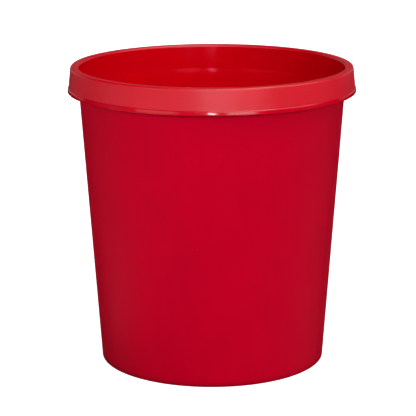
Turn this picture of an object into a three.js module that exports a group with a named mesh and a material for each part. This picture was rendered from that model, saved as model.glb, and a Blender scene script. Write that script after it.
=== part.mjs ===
// An open-top office waste bin of about 18 litres, moulded in one shot of polypropylene.
//
// The whole bin is a single shell of revolution. Its wall tapers towards a base that stands on a
// flat foot ring. Its top edge is turned outwards and down into a wide grip rim, whose free lower
// edge is thickened into a bead. A shallow shoulder inside the rim lets empty bins nest.
//
// Millimetres, +Z up. The origin is the centre of the base, on the floor.

import * as THREE from "three";

// ---------------------------------------------------------------- driving dimensions

const HEIGHT = 328;
const RIM_RADIUS = 157.5; // the widest point of the bin, on the bead of the rim
const BASE_RADIUS = 123.8; // outside of the wall, carried down to the floor
const DRAFT = THREE.MathUtils.degToRad(4.05); // taper of the wall from the vertical
const WALL = 2.2; // thickness of the wall and of the base panel

// Grip rim
const RIM_DEPTH = 27.6; // from the top of the bin down to the rim's free edge
const RIM_TOP_RADIUS = 154.1; // outside of the skirt at the top
const RIM_LOW_RADIUS = 156.4; // outside of the skirt where the bead starts
const TOP_THICKNESS = 2.4;
const SKIRT_THICKNESS = 2;
const BEAD_HEIGHT = 4.7; // from the rim's free edge up to where the bead starts
const BEAD_FACE_RADIUS = 157.05; // outside of the bead at the top of its face
const BEAD_FACE_HEIGHT = 4; // from the rim's free edge up to the top of the bead's face
const BEAD_CROWN_RADIUS = 157.45; // the bead's face is slightly crowned; it bends here
const BEAD_CROWN_HEIGHT = 2.1;
const SHOULDER_DEPTH = 27.5; // from the top of the bin down to the shoulder inside it
const SHOULDER_STEP = 0.5; // how much wider the inside is above the shoulder
const SHOULDER_RUN = 4.6; // height over which the inside eases back to the plain wall

// Base
const FOOT_HEIGHT = 4; // how far the base panel is held off the floor
const FOOT_WIDTH = 9.5; // from the outside of the wall in to the foot ring's inner edge
const FOOT_TAPER = 1.4; // slope of the foot ring's inner face

// Fillet radii
const BASE_EDGE = 1.6;
const RIM_TOP_EDGE = 2.6;
const LIP_EDGE = 2.6;
const BEAD_EDGE = 0.6;
const BEAD_CROWN = 12;
const INNER_CORNER = 1.6;
const SHOULDER_BLEND = 70;
const FLOOR_CORNER = 4;

// Smoothness of the faceted solid
const SEGMENTS = 96; // around the axis
const ARC_STEP = THREE.MathUtils.degToRad(30); // the most a fillet turns between two points

// ---------------------------------------------------------------- section

const RIM_BOTTOM = HEIGHT - RIM_DEPTH;

const wallOutside = (z) => BASE_RADIUS + z * Math.tan(DRAFT);
const wallInside = (z) => wallOutside(z) - WALL;
const corner = (radius, z, fillet = 0) => ({ at: new THREE.Vector2(radius, z), fillet });

// The half section, walked from the axis under the base, out and up the outside, over the rim and
// down the inside, back to the axis. Each corner carries the radius of its fillet.
function sectionCorners() {
  const footInner = BASE_RADIUS - FOOT_WIDTH;
  const skirtInside = RIM_TOP_RADIUS - SKIRT_THICKNESS;
  const flange = HEIGHT - TOP_THICKNESS;
  const shoulder = HEIGHT - SHOULDER_DEPTH;

  const underBase = [
    corner(0, FOOT_HEIGHT),
    corner(footInner - FOOT_TAPER, FOOT_HEIGHT, INNER_CORNER),
    corner(footInner, 0, INNER_CORNER),
    corner(BASE_RADIUS, 0, BASE_EDGE),
  ];
  const underRim = [
    corner(wallOutside(flange), flange, INNER_CORNER),
    corner(skirtInside, flange, INNER_CORNER),
    corner(RIM_LOW_RADIUS - SKIRT_THICKNESS, RIM_BOTTOM, BEAD_EDGE),
  ];
  const outsideRim = [
    corner(RIM_RADIUS, RIM_BOTTOM, BEAD_EDGE),
    corner(BEAD_CROWN_RADIUS, RIM_BOTTOM + BEAD_CROWN_HEIGHT, BEAD_CROWN),
    corner(BEAD_FACE_RADIUS, RIM_BOTTOM + BEAD_FACE_HEIGHT),
    corner(RIM_LOW_RADIUS, RIM_BOTTOM + BEAD_HEIGHT),
    corner(RIM_TOP_RADIUS, HEIGHT, RIM_TOP_EDGE),
  ];
  const inside = [
    corner(wallInside(HEIGHT) + SHOULDER_STEP, HEIGHT, LIP_EDGE),
    corner(wallInside(shoulder) + SHOULDER_STEP, shoulder),
    corner(wallInside(shoulder - SHOULDER_RUN), shoulder - SHOULDER_RUN, SHOULDER_BLEND),
    corner(wallInside(WALL), WALL, FLOOR_CORNER),
  ];
  const floor = [
    corner(footInner + WALL / 2, WALL, INNER_CORNER / 2),
    corner(footInner + WALL / 2 - FOOT_TAPER, FOOT_HEIGHT + WALL, INNER_CORNER),
    corner(0, FOOT_HEIGHT + WALL),
  ];
  return [...underBase, ...underRim, ...outsideRim, ...inside, ...floor];
}

// The points of a fillet that replaces a corner between two neighbours.
function filletPoints(before, here, after, radius) {
  const toBefore = before.clone().sub(here).normalize();
  const toAfter = after.clone().sub(here).normalize();
  const halfAngle = Math.acos(THREE.MathUtils.clamp(toBefore.dot(toAfter), -1, 1)) / 2;
  const bisector = toBefore.clone().add(toAfter).normalize();
  const centre = here.clone().addScaledVector(bisector, radius / Math.sin(halfAngle));
  const start = here.clone().addScaledVector(toBefore, radius / Math.tan(halfAngle));
  const turn = -Math.sign(toBefore.cross(toAfter)) * (Math.PI - 2 * halfAngle);
  const steps = Math.max(1, Math.ceil(Math.abs(turn) / ARC_STEP));
  const points = [];
  for (let i = 0; i <= steps; i++) points.push(start.clone().rotateAround(centre, (turn * i) / steps));
  return points;
}

function outline(corners) {
  return corners.flatMap(({ at, fillet }, i) =>
    fillet > 0 ? filletPoints(corners[i - 1].at, at, corners[i + 1].at, fillet) : [at],
  );
}

// ---------------------------------------------------------------- part

const redPolypropylene = new THREE.MeshStandardMaterial({
  color: new THREE.Color().setRGB(0.75, 0, 0.13, THREE.SRGBColorSpace),
  roughness: 0.5,
  metalness: 0,
});

function binBody() {
  const mesh = new THREE.Mesh(
    new THREE.LatheGeometry(outline(sectionCorners()), SEGMENTS),
    redPolypropylene,
  );
  mesh.name = "bin_body";
  mesh.rotation.x = Math.PI / 2; // a lathe turns about +Y, and the bin stands along +Z
  return mesh;
}

const bin = new THREE.Group();
bin.add(binBody());

export default bin;
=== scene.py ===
"""The looks of an 18 litre round waste bin, moulded in one shot of red polypropylene.

The bin is one closed surface of revolution. Its zones (satin wall, spark-eroded rim, polished
edges, inside, underside) are finishes of the same plastic, so they share one shader. It stands on
a pale studio floor under soft lights. Lengths are in metres, +Z is up, and the origin is the centre
of the base.
"""

import math
from collections import namedtuple

import bpy
from mathutils import Matrix, Vector


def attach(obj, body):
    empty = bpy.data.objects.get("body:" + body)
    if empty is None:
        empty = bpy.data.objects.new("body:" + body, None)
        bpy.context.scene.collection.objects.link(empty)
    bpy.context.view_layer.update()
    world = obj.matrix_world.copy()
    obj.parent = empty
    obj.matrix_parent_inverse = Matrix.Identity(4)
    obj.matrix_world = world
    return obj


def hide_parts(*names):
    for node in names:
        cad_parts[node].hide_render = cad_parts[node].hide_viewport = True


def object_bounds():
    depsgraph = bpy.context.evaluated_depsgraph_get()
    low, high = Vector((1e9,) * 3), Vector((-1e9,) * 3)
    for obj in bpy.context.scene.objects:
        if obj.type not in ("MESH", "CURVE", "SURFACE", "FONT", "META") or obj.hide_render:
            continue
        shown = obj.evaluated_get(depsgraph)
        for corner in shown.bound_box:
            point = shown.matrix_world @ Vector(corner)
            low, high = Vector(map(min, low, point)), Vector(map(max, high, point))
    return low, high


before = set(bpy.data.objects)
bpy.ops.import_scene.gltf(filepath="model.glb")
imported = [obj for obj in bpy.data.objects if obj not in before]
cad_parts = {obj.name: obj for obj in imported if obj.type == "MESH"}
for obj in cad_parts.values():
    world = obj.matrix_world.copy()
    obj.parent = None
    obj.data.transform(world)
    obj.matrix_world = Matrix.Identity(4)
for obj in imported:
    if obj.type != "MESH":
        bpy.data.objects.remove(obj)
cad_low, cad_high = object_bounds()

MM = 0.001

# ---------------------------------------------------------------- the moulding

HEIGHT = cad_high.z
RIM_RADIUS = cad_high.x  # the widest point of the bin, on the bead of the rim
BASE_RADIUS = RIM_RADIUS - 33.7 * MM  # outside of the wall, carried down to the floor
DRAFT = math.radians(4.05)  # taper of the wall from the vertical
WALL = 2.2 * MM

RIM_BOTTOM = HEIGHT - 27.6 * MM  # the rim's free edge
RIM_TOP_RADIUS = RIM_RADIUS - 3.4 * MM  # outside of the skirt at the top
RIM_LOW_RADIUS = RIM_RADIUS - 1.1 * MM  # outside of the skirt just above the bead
SKIRT_WALL = 2.0 * MM
FLANGE = HEIGHT - 2.4 * MM  # underside of the rim's flat top
BEAD_TOP = RIM_BOTTOM + 4.7 * MM  # the polished bead along the rim's free edge ends here
BEAD_STEP = RIM_BOTTOM + 4.0 * MM  # the top of its face, before it steps in to the skirt
BEAD_STEP_RADIUS = RIM_RADIUS - 0.45 * MM
BEAD_CROWN = RIM_BOTTOM + 2.1 * MM  # the middle of its face, which is slightly crowned
BEAD_CROWN_RADIUS = RIM_RADIUS - 0.05 * MM
SHOULDER = HEIGHT - 27.5 * MM  # below this the inner wall eases inwards, so that bins nest
SHOULDER_STEP = 0.5 * MM
SHOULDER_RUN = 4.6 * MM

FOOT_HEIGHT = 4.0 * MM  # the base panel is held this far off the floor
FOOT_INNER = BASE_RADIUS - 9.5 * MM
FOOT_TAPER = 1.4 * MM
GATE_RADIUS = 5.0 * MM  # the shallow dish round the moulding's gate
GATE_DEPTH = 0.5 * MM
NUB_RADIUS = 1.3 * MM

SEGMENTS = 360
ARC_STEP = math.radians(9)  # the most a fillet turns between two rings
SUPPORT = 0.4 * MM  # a ring this close to each fillet keeps the shading of the flats flat

Corner = namedtuple("Corner", "radius z fillet edge run")


def wall_outside(z):
    return BASE_RADIUS + z * math.tan(DRAFT)


def wall_inside(z):
    return wall_outside(z) - WALL


def corner(radius, z, fillet_mm, edge, run=None):
    """A corner of the half section, its fillet's finish, and the finish of the run after it."""
    return Corner(radius, z, fillet_mm * MM, edge, run or edge)


def half_section():
    """From the axis under the base, up the outside, over the rim and down the inside."""
    dish = FOOT_HEIGHT + GATE_DEPTH
    foot_bore = FOOT_INNER - FOOT_TAPER
    return [
        corner(0, FOOT_HEIGHT, 0, "under"),
        corner(NUB_RADIUS, FOOT_HEIGHT, 0.2, "under"),
        corner(NUB_RADIUS, dish, 0.2, "under"),
        corner(GATE_RADIUS, dish, 0.3, "under"),
        corner(GATE_RADIUS + GATE_DEPTH, FOOT_HEIGHT, 0.3, "under"),
        corner(foot_bore, FOOT_HEIGHT, 1.6, "under"),
        corner(FOOT_INNER, 0, 1.6, "under"),
        corner(BASE_RADIUS, 0, 1.6, "wall"),
        corner(wall_outside(FLANGE), FLANGE, 1.6, "wall"),
        corner(RIM_TOP_RADIUS - SKIRT_WALL, FLANGE, 1.6, "wall"),
        corner(RIM_LOW_RADIUS - SKIRT_WALL, RIM_BOTTOM, 0.7, "polish"),
        corner(RIM_RADIUS, RIM_BOTTOM, 0.6, "polish"),
        corner(BEAD_CROWN_RADIUS, BEAD_CROWN, 12.0, "polish"),
        corner(BEAD_STEP_RADIUS, BEAD_STEP, 0.4, "polish"),
        corner(RIM_LOW_RADIUS, BEAD_TOP, 0.4, "polish", "grain"),
        corner(RIM_TOP_RADIUS, HEIGHT, 2.6, "lip"),
        corner(wall_inside(HEIGHT) + SHOULDER_STEP, HEIGHT, 2.6, "lip", "inside"),
        corner(wall_inside(SHOULDER) + SHOULDER_STEP, SHOULDER, 0.4, "inside"),
        corner(wall_inside(SHOULDER - SHOULDER_RUN), SHOULDER - SHOULDER_RUN, 76, "inside"),
        corner(wall_inside(WALL), WALL, 4.0, "inside"),
        corner(FOOT_INNER + WALL / 2, WALL, 0.8, "inside"),
        corner(FOOT_INNER + WALL / 2 - FOOT_TAPER, FOOT_HEIGHT + WALL, 1.6, "inside"),
        corner(0, FOOT_HEIGHT + WALL, 0, "inside"),
    ]


def fillet(before, here, after, radius):
    """The points of the arc that rounds a corner, from one tangent point to the other."""
    to_before = (before - here).normalized()
    to_after = (after - here).normalized()
    half = to_before.angle(to_after) / 2
    centre = here + (to_before + to_after).normalized() * (radius / math.sin(half))
    start = here + to_before * (radius / math.tan(half)) - centre
    turn = math.copysign(math.pi - 2 * half, to_after.cross(to_before))
    steps = max(2, math.ceil(abs(turn) / ARC_STEP))
    return [centre + Matrix.Rotation(turn * i / steps, 2) @ start for i in range(steps + 1)]


def supports(start, end, finish):
    """Two rings that end the straight run between two fillets."""
    run = end - start
    if run.length < 4 * SUPPORT:
        return []
    inset = run.normalized() * SUPPORT
    return [(start + inset, finish), (end - inset, finish)]


def trace(corners):
    """The rings of the section as (point, finish of the band that starts there)."""
    points = [Vector((c.radius, c.z)) for c in corners]
    rings = []
    for i, c in enumerate(corners):
        if c.fillet:
            arc = fillet(points[i - 1], points[i], points[i + 1], c.fillet)
        else:
            arc = [points[i]]
        if rings:
            rings += supports(rings[-1][0], arc[0], rings[-1][1])
        rings += [(p, c.edge) for p in arc[:-1]]
        rings.append((arc[-1], c.run))
    return rings


def ring_vertices(ring, count):
    """The vertex under each segment of a ring. The two poles are stored after all the others."""
    if ring == 0:
        return [(count - 2) * SEGMENTS] * SEGMENTS
    if ring == count - 1:
        return [(count - 2) * SEGMENTS + 1] * SEGMENTS
    return [(ring - 1) * SEGMENTS + i for i in range(SEGMENTS)]


def band(low, high):
    """The faces between two rings: quads, or triangles where one of them is a pole."""
    faces = []
    for i in range(SEGMENTS):
        j = (i + 1) % SEGMENTS
        faces.append(tuple(dict.fromkeys((low[i], low[j], high[j], high[i]))))
    return faces


def lathe(name, rings, finishes):
    """A closed mesh that turns the rings about Z. The first and last ring lie on the axis."""
    around = [2 * math.pi * i / SEGMENTS for i in range(SEGMENTS)]
    verts = [(p.x * math.cos(a), p.x * math.sin(a), p.y) for p, _ in rings[1:-1] for a in around]
    verts += [(0, 0, rings[0][0].y), (0, 0, rings[-1][0].y)]
    faces = []
    slots = []
    for ring, (_, finish) in enumerate(rings[:-1]):
        faces += band(ring_vertices(ring, len(rings)), ring_vertices(ring + 1, len(rings)))
        slots += [finishes.index(finish)] * SEGMENTS
    mesh = bpy.data.meshes.new(name)
    mesh.from_pydata(verts, [], faces)
    mesh.polygons.foreach_set("material_index", slots)
    mesh.shade_smooth()
    mesh.validate()
    piece = bpy.data.objects.new(name, mesh)
    bpy.context.scene.collection.objects.link(piece)
    return piece


# ---------------------------------------------------------------- the plastic

RED = (0.56, 0.0, 0.018)
PLASTIC_IOR = 1.49
NOISE_RANGE = (0.3, 0.7)  # where nearly all of a noise texture's values fall
DRAWN_OUT = (1, 1, 0.04)  # scale that stretches a noise up the wall, the way the mould opened

CLOUD_SIZE = 60 * MM  # faint patches in the pigment
STREAK_SIZE = 7 * MM  # and finer ones along the flow of the plastic
RIPPLE_SIZE = 35 * MM  # slow waves in the moulded wall
RIPPLE_HEIGHT = 0.12 * MM
RUB_SIZE = 18 * MM

# Painted shade: the red is darkened over the last few millimetres above the floor, standing in for the
# shade the rounded foot gets.
FOOT_SHADE_HEIGHTS = (0.3 * MM, 6 * MM)  # the heights between which the painted shade at the foot fades out
FOOT_SHADE_DEPTH = 0.5

DUST = (0.75, 0.68, 0.66)
DUST_CELL = 26 * MM  # at most one speck in each cell of this size
DUST_SPECK = 0.018  # the radius of a speck, in cells
DUST_PATCH = 40 * MM  # dust only settles in some patches, about this big
DUST_COVER = 0.55  # how far the middle of a speck hides the red

# What each mould finish does to the one plastic: how rough and how shiny it comes out, the tint of
# its shine, a tint of its red that is partly the finish's own look and partly painted light (the rim,
# lip, bead and inside are lightened for how the studio light falls on them), the width and height of
# its grain, and how far use has rubbed it.
Finish = namedtuple("Finish", "roughness shine shine_tint red_tint grain_mm grain_height_mm scuff")
FINISHES = {
    "under": Finish(0.5, 0.25, (1, 1, 1), (1.0, 1.0, 1.0), 0.9, 0.02, 0.6),
    "wall": Finish(0.42, 0.05, (1, 0.2, 0.5), (1.0, 1.0, 1.0), 0.8, 0.012, 0.25),
    "polish": Finish(0.14, 0.8, (1, 1, 1), (1.15, 1.0, 0.8), 1.5, 0.004, 0.2),
    "lip": Finish(0.34, 1.0, (1, 1, 1), (1.4, 1.0, 0.8), 1.0, 0.01, 0.2),
    "grain": Finish(0.44, 0.68, (1, 1, 1), (1.3, 1.0, 0.9), 0.5, 0.05, 0.15),
    "inside": Finish(0.15, 0.14, (1, 0.4, 0.85), (1.22, 1.0, 0.3), 1.2, 0.006, 0.35),
}


class Shader:
    """A node tree with short calls for the nodes the plastic uses."""

    def __init__(self, material):
        material.use_nodes = True
        self.tree = material.node_tree
        self.bsdf = self.tree.nodes["Principled BSDF"]

    def add(self, kind, inputs=None, **settings):
        node = self.tree.nodes.new(kind)
        for key, value in settings.items():
            setattr(node, key, value)
        for key, value in (inputs or {}).items():
            self.feed(node.inputs[key], value)
        return node

    def feed(self, socket, value):
        if isinstance(value, bpy.types.NodeSocket):
            self.tree.links.new(value, socket)
        else:
            socket.default_value = value

    def noise(self, where, size, detail=2.0):
        node = self.add("ShaderNodeTexNoise", {"Vector": where, "Scale": 1 / size, "Detail": detail})
        return node.outputs["Fac"]

    def spread(self, value, low, high, out_low, out_high):
        """Maps low..high onto out_low..out_high, clamped."""
        node = self.add(
            "ShaderNodeMapRange",
            {"Value": value, "From Min": low, "From Max": high, "To Min": out_low, "To Max": out_high},
        )
        return node.outputs["Result"]

    def around_one(self, noise, amount):
        """Turns a noise into a factor that stays within an amount of one."""
        return self.spread(noise, *NOISE_RANGE, 1 - amount, 1 + amount)

    def bump(self, height, distance):
        return self.add("ShaderNodeBump", {"Height": height, "Distance": distance, "Strength": 1.0})

    def times(self, a, b):
        return self.add("ShaderNodeMath", {0: a, 1: b}, operation="MULTIPLY").outputs[0]

    def plus(self, a, b):
        return self.add("ShaderNodeMath", {0: a, 1: b}, operation="ADD").outputs[0]

    def mix(self, amount, a, b):
        node = self.add("ShaderNodeMix", data_type="RGBA")
        self.feed(node.inputs[0], amount)
        self.feed(node.inputs[6], a)
        self.feed(node.inputs[7], b)
        return node.outputs[2]


def dust(s, where):
    """How far dust hides the red: a few small specks, fading from the middle."""
    cells = s.add("ShaderNodeTexVoronoi", {"Vector": where, "Scale": 1 / DUST_CELL})
    speck = s.spread(cells.outputs["Distance"], 0.0, DUST_SPECK, 1.0, 0.0)
    patch = s.spread(s.noise(where, DUST_PATCH, 0), 0.52, 0.56, 0.0, DUST_COVER)
    return s.times(speck, patch)


def pigment(s, where, drawn, red):
    """The red, slightly uneven, darkened at the foot by painted shade, with a few specks of dust."""
    clouds = s.around_one(s.noise(where, CLOUD_SIZE), 0.03)
    streaks = s.around_one(s.noise(drawn, STREAK_SIZE, 3), 0.015)
    height = s.add("ShaderNodeSeparateXYZ", {"Vector": where}).outputs["Z"]
    # painted shade: the red darkens towards the floor
    foot_shade = s.spread(height, *FOOT_SHADE_HEIGHTS, FOOT_SHADE_DEPTH, 1.0)
    shade = s.times(s.times(clouds, streaks), foot_shade)
    tone = s.add("ShaderNodeVectorMath", {0: red, "Scale": shade}, operation="SCALE").outputs[0]
    return s.mix(dust(s, where), tone, (*DUST, 1))


def gloss(s, drawn, finish):
    """The finish's own roughness, uneven where hands and cloths have rubbed it."""
    rubbed = s.spread(s.noise(drawn, RUB_SIZE, 4), 0.35, 0.75, -0.05, 0.05 + 0.1 * finish.scuff)
    return s.plus(rubbed, finish.roughness)


def relief(s, where, finish):
    """The grain etched in the mould, over a slow ripple in the moulded wall."""
    ripple = s.bump(s.noise(where, RIPPLE_SIZE, 1), RIPPLE_HEIGHT)
    grain = s.bump(s.noise(where, finish.grain_mm * MM, 3), finish.grain_height_mm * MM)
    s.feed(grain.inputs["Normal"], ripple.outputs[0])
    return grain.outputs[0]


def plastic(name, finish):
    material = bpy.data.materials.new(name)
    s = Shader(material)
    where = s.add("ShaderNodeTexCoord").outputs["Object"]
    drawn = s.add("ShaderNodeMapping", {"Vector": where, "Scale": DRAWN_OUT}).outputs[0]
    # The finish's red tint lightens the rim, lip, bead and inside; this is partly painted light.
    red = tuple(c * t for c, t in zip(RED, finish.red_tint))
    s.feed(s.bsdf.inputs["Base Color"], pigment(s, where, drawn, red))
    s.feed(s.bsdf.inputs["Roughness"], gloss(s, drawn, finish))
    s.feed(s.bsdf.inputs["Normal"], relief(s, where, finish))
    s.bsdf.inputs["IOR"].default_value = PLASTIC_IOR
    s.bsdf.inputs["Specular IOR Level"].default_value = finish.shine
    s.bsdf.inputs["Specular Tint"].default_value = (*finish.shine_tint, 1)
    return material


# ---------------------------------------------------------------- the studio

# The photograph's viewpoint: a long lens a little above the rim, looking slightly down.
CAMERA_DISTANCE = 1.99
CAMERA_HEIGHT = 0.649
CAMERA_PITCH = math.radians(13.614)
CAMERA_ROLL = math.radians(0.148)
CAMERA_YAW = 0.00167
CAMERA_LENS = 159.6

# Soft boxes that face the middle of the bin. Azimuth 0 is the camera's side, and 90 its right.
# name, azimuth, elevation, distance, width, height, watts
LIGHTS = [
    ("key", 37, 36, 2.6, 2.1, 1.4, 5.0),
    ("front", -8, 36, 2.6, 1.3, 1.2, 3.5),
    ("mid_left", -48, 36, 2.6, 1.6, 1.2, 1.4),
    ("top_front", 40, 63, 2.6, 1.7, 1.1, 9.5),
    ("top", 90, 84, 2.6, 1.3, 1.3, 7.5),
    ("top_right", 95, 64, 2.6, 1.5, 1.2, 6.5),
    ("side_right", 90, 38, 2.6, 1.2, 1.2, 5.0),
    ("behind", 180, 15, 2.6, 1.4, 0.8, 0.35),
    ("back_left", -138, 10, 2.6, 2.0, 0.8, 2.1),
    ("back_right", 138, 10, 2.6, 2.0, 0.8, 1.8),
]

# More of them that show in the gloss, and don't brighten the red.
GLINTS = [
    ("spot", 0, 8, 2.6, 0.2, 0.6, 6.6),
    ("low_right", 22.5, 8, 2.6, 0.96, 0.9, 6.4),
    ("low_left", -43, 10, 2.6, 1.5, 1.0, 3.2),
]

# And more that brighten the red, and don't show in its gloss.
FILLS = [
    ("fill_front", 14, 19, 2.6, 2.8, 0.36, 33.0),
    ("fill_low_left", -50, 19, 2.6, 1.6, 0.36, 6.8),
    ("fill_left", -76, 14, 0.6, 0.3, 0.2, 0.24),
    ("fill_right", 74, 22, 0.6, 0.3, 0.3, 0.13),
    ("fill_back", 180, 24, 2.6, 2.4, 1.2, 30.0),
]

# Squares lying on the floor that shine up at the foot of the wall, as reflector cards would.
# name, azimuth, distance, size, watts
CARDS = [
    ("card_left", -75, 0.35, 0.2, 0.08),
    ("card_front", -40, 0.6, 0.3, 0.5),
]
CARD_HEIGHT = 1 * MM
FLOOR_SIZE = 24
FLOOR_WHITE = 0.75
FLOOR_GLOW = 1.0  # seen by the camera only, so that the floor meets the backdrop in plain white


def direction(azimuth, elevation=0):
    a = math.radians(azimuth)
    e = math.radians(elevation)
    return Vector((math.sin(a) * math.cos(e), -math.cos(a) * math.cos(e), math.sin(e)))


def area_light(name, width, height, watts):
    light = bpy.data.lights.new(name, "AREA")
    light.shape = "RECTANGLE"
    light.size = width
    light.size_y = height
    light.energy = watts
    obj = bpy.data.objects.new(name, light)
    obj.visible_camera = False
    bpy.context.scene.collection.objects.link(obj)
    return obj


def add_light(name, azimuth, elevation, distance, width, height, watts):
    obj = area_light(name, width, height, watts)
    away = direction(azimuth, elevation)
    obj.location = Vector((0, 0, HEIGHT / 2)) + away * distance
    obj.rotation_euler = (-away).to_track_quat("-Z", "Y").to_euler()
    return obj


def add_card(name, azimuth, distance, size, watts):
    obj = area_light(name, size, size, watts)
    obj.location = direction(azimuth) * distance
    obj.location.z = CARD_HEIGHT
    obj.rotation_euler.x = math.pi  # an area light shines down until it is turned over


def add_floor():
    mesh = bpy.data.meshes.new("floor")
    h = FLOOR_SIZE / 2
    mesh.from_pydata([(-h, -h, 0), (h, -h, 0), (h, h, 0), (-h, h, 0)], [], [(0, 1, 2, 3)])
    floor = bpy.data.objects.new("floor", mesh)
    material = bpy.data.materials.new("floor")
    s = Shader(material)
    where = s.add("ShaderNodeTexCoord").outputs["Object"]
    tone = s.spread(s.noise(where, 0.4), 0.3, 0.7, FLOOR_WHITE - 0.004, FLOOR_WHITE)
    s.feed(s.bsdf.inputs["Base Color"], tone)
    s.bsdf.inputs["Roughness"].default_value = 0.9
    seen = s.add("ShaderNodeLightPath").outputs["Is Camera Ray"]
    s.feed(s.bsdf.inputs["Emission Color"], (1, 1, 1, 1))
    s.feed(s.bsdf.inputs["Emission Strength"], s.times(seen, FLOOR_GLOW))
    mesh.materials.append(material)
    floor.visible_glossy = False
    bpy.context.scene.collection.objects.link(floor)
    return floor


def add_world():
    """A plain white backdrop that the camera sees and that lights nothing."""
    world = bpy.data.worlds.new("studio")
    bpy.context.scene.world = world
    world.use_nodes = True
    sky = world.node_tree.nodes["Background"]
    sky.inputs["Color"].default_value = (1, 1, 1, 1)
    sky.inputs["Strength"].default_value = 1.0
    world.cycles_visibility.glossy = False
    world.cycles_visibility.diffuse = False


def add_camera():
    camera = bpy.data.objects.new("camera", bpy.data.cameras.new("camera"))
    camera.data.lens = CAMERA_LENS
    camera.location = (0, -CAMERA_DISTANCE, CAMERA_HEIGHT)
    camera.rotation_euler = (math.pi / 2 - CAMERA_PITCH, CAMERA_ROLL, CAMERA_YAW)
    bpy.context.scene.collection.objects.link(camera)
    bpy.context.scene.camera = camera


# ---------------------------------------------------------------- build

bin_shell = lathe("bin_shell", trace(half_section()), list(FINISHES))
for finish_name, finish in FINISHES.items():
    bin_shell.data.materials.append(plastic("plastic_" + finish_name, finish))
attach(bin_shell, "root")
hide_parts("bin_body")

add_floor()
add_world()
for settings in LIGHTS:
    add_light(*settings)
for settings in GLINTS:
    add_light(*settings).visible_diffuse = False
for settings in FILLS:
    add_light(*settings).visible_glossy = False
for settings in CARDS:
    add_card(*settings)
add_camera()
bpy.context.scene.view_settings.view_transform = "Standard"
